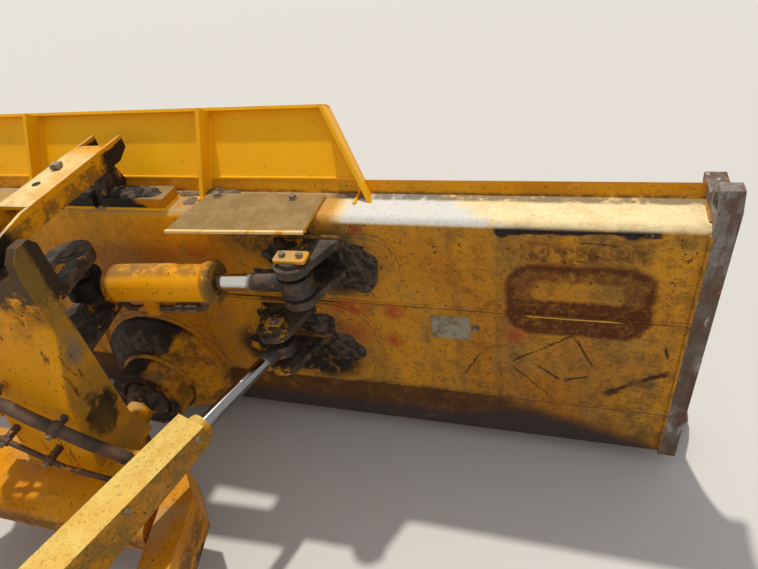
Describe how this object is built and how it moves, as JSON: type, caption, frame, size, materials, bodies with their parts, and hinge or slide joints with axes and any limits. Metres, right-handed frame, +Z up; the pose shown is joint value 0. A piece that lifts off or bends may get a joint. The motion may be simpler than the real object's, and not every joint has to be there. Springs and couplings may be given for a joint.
{
  "type": "six-way dozer blade with push frame",
  "caption": "Wide curved dozer blade with spill guard on a ball-jointed push frame, angled and tilted by hydraulic cylinders and guided by a top link.",
  "frame": {"origin": "middle of the push frame's rear trunnion axis", "axes": "+X to the machine's right along the trunnion axis, +Y forward in the direction of travel, +Z up; the blade's lower edge is 0.45 m below the origin"},
  "size_m": [3.97, 2.6409, 1.2783],
  "materials": {
    "yellow_paint": "worn satin paint with dust, oil stains and rust at its edges",
    "worn_steel": "scuffed bare steel with rust and remains of paint",
    "greased_steel": "steel under thick dark grease",
    "chrome_rod": "polished chrome",
    "hose_rubber": "dusty rubber"
  },
  "bodies": {
    "push_frame": {"frame_crossmember": "yellow_paint", "frame_nose": "yellow_paint", "frame_tower": "yellow_paint", "frame_arm_R": "yellow_paint", "frame_arm_L": "yellow_paint", "trunnion_eye_R": "yellow_paint", "trunnion_eye_L": "yellow_paint", "tilt_base_lugs": "greased_steel", "link_base": "greased_steel", "lift_lugs_R": "yellow_paint", "lift_lugs_L": "yellow_paint", "angle_base_R": "yellow_paint", "angle_base_L": "yellow_paint", "hydraulic_hose": "hose_rubber", "hydraulic_tube": "worn_steel", "hose_clamps": "worn_steel", "line_blocks": "yellow_paint"},
    "pivot_ball": {"centre_ball": "greased_steel"},
    "blade": {"moldboard": "yellow_paint", "top_beam": "yellow_paint", "back_plate": "yellow_paint", "bottom_beam": "yellow_paint", "end_plate_R": "worn_steel", "end_plate_L": "worn_steel", "cutting_edges": "worn_steel", "end_bit_R": "worn_steel", "end_bit_L": "worn_steel", "spill_guard": "yellow_paint", "guard_ribs": "yellow_paint", "guard_flanges": "yellow_paint", "centre_doubler": "yellow_paint", "bracket_doublers": "yellow_paint", "ball_socket": "yellow_paint", "tilt_ears": "greased_steel", "angle_ears_R": "greased_steel", "angle_ears_L": "greased_steel", "pin_caps": "greased_steel", "link_ear": "greased_steel", "link_boxes": "yellow_paint", "tilt_shield": "yellow_paint"},
    "link_knuckle": {"link_stud": "greased_steel"},
    "top_link": {"top_link": "yellow_paint"},
    "tilt_yoke": {"tilt_pin": "greased_steel"},
    "tilt_barrel": {"tilt_barrel": "yellow_paint", "tilt_gland": "greased_steel", "tilt_line": "worn_steel", "tilt_line_clamp": "yellow_paint"},
    "tilt_rod": {"tilt_rod": "chrome_rod"},
    "angle_right_yoke": {"angle_R_pin": "greased_steel"},
    "angle_right_barrel": {"angle_R_barrel": "yellow_paint", "angle_R_gland": "yellow_paint", "angle_R_cover": "yellow_paint"},
    "angle_right_rod": {"angle_R_rod": "chrome_rod"},
    "angle_left_yoke": {"angle_L_pin": "greased_steel"},
    "angle_left_barrel": {"angle_L_barrel": "yellow_paint", "angle_L_gland": "yellow_paint", "angle_L_cover": "yellow_paint"},
    "angle_left_rod": {"angle_L_rod": "chrome_rod"}
  },
  "joints": [
    {"name": "blade_angle", "type": "hinge", "parent": "push_frame", "child": "pivot_ball", "pos_m": [0, 2.06, -0.182], "axis": [0, 0, 1], "range_deg": [-22, 22]},
    {"name": "blade_tilt", "type": "hinge", "parent": "pivot_ball", "child": "blade", "pos_m": [0, 2.06, -0.182], "axis": [0, 1, 0], "range_deg": [-8, 8]},
    {"name": "link_turn", "type": "hinge", "parent": "push_frame", "child": "link_knuckle", "pos_m": [0, 1.83, 0.702], "axis": [0, 0, 1], "range_deg": [-13, 13]},
    {"name": "link_swing", "type": "hinge", "parent": "link_knuckle", "child": "top_link", "pos_m": [0, 1.83, 0.702], "axis": [0, 0, 1], "range_deg": [-13.6, 13.6]},
    {"name": "tilt_base_turn", "type": "hinge", "parent": "push_frame", "child": "tilt_yoke", "pos_m": [0, 2.06, 0.405], "axis": [0, 0, 1], "range_deg": [-22.5, 22.5]},
    {"name": "tilt_base_pitch", "type": "hinge", "parent": "tilt_yoke", "child": "tilt_barrel", "pos_m": [0, 2.06, 0.405], "axis": [0, 1, 0], "range_deg": [-8.7, 8.7]},
    {"name": "tilt_stroke", "type": "slide", "parent": "tilt_barrel", "child": "tilt_rod", "axis": [0.9974, 0.0643, 0.0322], "range_m": [-0.0834, 0.0834]},
    {"name": "angle_right_turn", "type": "hinge", "parent": "push_frame", "child": "angle_right_yoke", "pos_m": [0.32, 1.07, 0.15], "axis": [0, 0, 1], "range_deg": [-5.1, 5.1]},
    {"name": "angle_right_pitch", "type": "hinge", "parent": "angle_right_yoke", "child": "angle_right_barrel", "pos_m": [0.32, 1.07, 0.15], "axis": [0.9566, -0.2915, 0], "range_deg": [-5.1, 5.1]},
    {"name": "angle_right_stroke", "type": "slide", "parent": "angle_right_barrel", "child": "angle_right_rod", "axis": [0.2915, 0.9564, -0.0182], "range_m": [-0.2274, 0.2274]},
    {"name": "angle_left_turn", "type": "hinge", "parent": "push_frame", "child": "angle_left_yoke", "pos_m": [-0.32, 1.07, 0.15], "axis": [0, 0, 1], "range_deg": [-5.1, 5.1]},
    {"name": "angle_left_pitch", "type": "hinge", "parent": "angle_left_yoke", "child": "angle_left_barrel", "pos_m": [-0.32, 1.07, 0.15], "axis": [0.9566, 0.2915, 0], "range_deg": [-5.1, 5.1]},
    {"name": "angle_left_stroke", "type": "slide", "parent": "angle_left_barrel", "child": "angle_left_rod", "axis": [-0.2915, 0.9564, -0.0182], "range_m": [-0.2274, 0.2274]}
  ],
  "couplings": [
    {"joint": "link_turn", "follows": "blade_angle", "ratio": 0.567},
    {"joint": "link_swing", "follows": "blade_tilt", "ratio": -1.634},
    {"joint": "tilt_base_turn", "follows": "blade_angle", "ratio": 1},
    {"joint": "tilt_base_pitch", "follows": "blade_tilt", "ratio": 1.03},
    {"joint": "tilt_stroke", "follows": "blade_tilt", "m_per_rad": 0.583},
    {"joint": "angle_right_turn", "follows": "blade_angle", "ratio": 0.207},
    {"joint": "angle_right_pitch", "follows": "blade_tilt", "ratio": -0.579},
    {"joint": "angle_right_stroke", "follows": "blade_angle", "m_per_rad": 0.587},
    {"joint": "angle_left_turn", "follows": "blade_angle", "ratio": 0.207},
    {"joint": "angle_left_pitch", "follows": "blade_tilt", "ratio": 0.579},
    {"joint": "angle_left_stroke", "follows": "blade_angle", "m_per_rad": -0.587}
  ]
}
